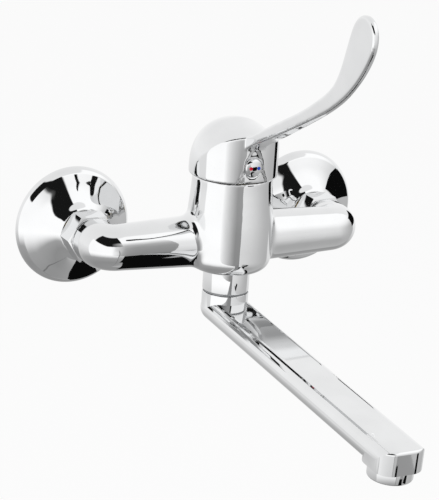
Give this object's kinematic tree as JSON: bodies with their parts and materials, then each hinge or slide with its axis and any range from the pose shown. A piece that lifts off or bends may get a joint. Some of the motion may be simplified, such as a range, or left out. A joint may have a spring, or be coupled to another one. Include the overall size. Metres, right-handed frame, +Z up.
{
  "type": "elbow lever tap",
  "caption": "Wall-mounted single-lever mixer tap with a long elbow lever, a flat swivel spout below the barrel and wall unions under bell rosettes.",
  "frame": {"origin": "on the wall plane, midway between the two wall inlets", "axes": "X along the wall to the right as the user sees it, +Y into the wall, +Z up; the lever and the spout point along -Y"},
  "size_m": [0.2194, 0.2683, 0.2228],
  "materials": {
    "chrome_body": "polished",
    "chrome_lever": "polished",
    "chrome_button": "polished",
    "chrome_spout": "polished",
    "chrome_rosette": "polished",
    "chrome_nut": "polished",
    "brass_union": "machined",
    "brass_inner": "machined",
    "steel_inner": "plain",
    "disc_ceramic": "lapped",
    "plastic_inner": "moulded",
    "plastic_stop": "moulded",
    "seal_rubber": "moulded",
    "gasket_fibre": "cut sheet",
    "mark_red": "gloss",
    "mark_blue": "gloss"
  },
  "bodies": {
    "fixed": {"mixer_body": "chrome_body", "cartridge_base": "plastic_inner", "port_seals": "seal_rubber", "fixed_disc": "disc_ceramic", "cartridge_housing": "plastic_inner", "temperature_stop_ring": "plastic_stop", "cartridge_nut": "brass_inner", "outlet_nipple": "brass_inner", "outlet_sleeve": "chrome_body", "spout_slip_ring": "plastic_stop", "spout_o_rings": "seal_rubber", "spout_snap_ring": "steel_inner", "left_s_union": "brass_union", "right_s_union": "brass_union", "left_rosette": "chrome_rosette", "right_rosette": "chrome_rosette", "left_inlet_gasket": "gasket_fibre", "right_inlet_gasket": "gasket_fibre", "left_inlet_tail": "brass_inner", "right_inlet_tail": "brass_inner", "left_tail_seal": "seal_rubber", "right_tail_seal": "seal_rubber"},
    "turner": {"turning_bush": "plastic_inner", "spindle_pin": "steel_inner"},
    "lever_group": {"lever": "chrome_lever", "lever_screw": "steel_inner", "indicator_button": "chrome_button", "hot_mark": "mark_red", "cold_mark": "mark_blue", "spindle": "brass_inner"},
    "disc_group": {"disc_carrier": "plastic_inner", "moving_disc": "disc_ceramic"},
    "spout_group": {"spout": "chrome_spout", "aerator_housing": "chrome_spout", "aerator_washer": "seal_rubber", "aerator_insert": "plastic_stop"},
    "left_nut": {"left_union_nut": "chrome_nut"},
    "right_nut": {"right_union_nut": "chrome_nut"}
  },
  "joints": [
    {"name": "lever_turn", "type": "hinge", "parent": "fixed", "child": "turner", "pos_m": [0, -0.052, 0.0355], "axis": [0, 0, 1], "range_deg": [-45, 45]},
    {"name": "lever_lift", "type": "hinge", "parent": "turner", "child": "lever_group", "pos_m": [0, -0.052, 0.0355], "axis": [-1, 0, 0], "range_deg": [0, 22]},
    {"name": "disc_slide", "type": "slide", "parent": "turner", "child": "disc_group", "axis": [0, -1, 0], "range_m": [0, 0.0028]},
    {"name": "spout_swivel", "type": "hinge", "parent": "fixed", "child": "spout_group", "pos_m": [0, -0.052, -0.0285], "axis": [0, 0, 1], "range_deg": [-95, 95]},
    {"name": "left_nut_turn", "type": "hinge", "parent": "fixed", "child": "left_nut", "pos_m": [-0.075, -0.0245, 0.006], "axis": [0, -1, 0], "continuous": true},
    {"name": "right_nut_turn", "type": "hinge", "parent": "fixed", "child": "right_nut", "pos_m": [0.075, -0.0245, 0.006], "axis": [0, -1, 0], "continuous": true}
  ],
  "couplings": [
    {"joint": "disc_slide", "follows": "lever_lift", "m_per_rad": 0.007}
  ]
}
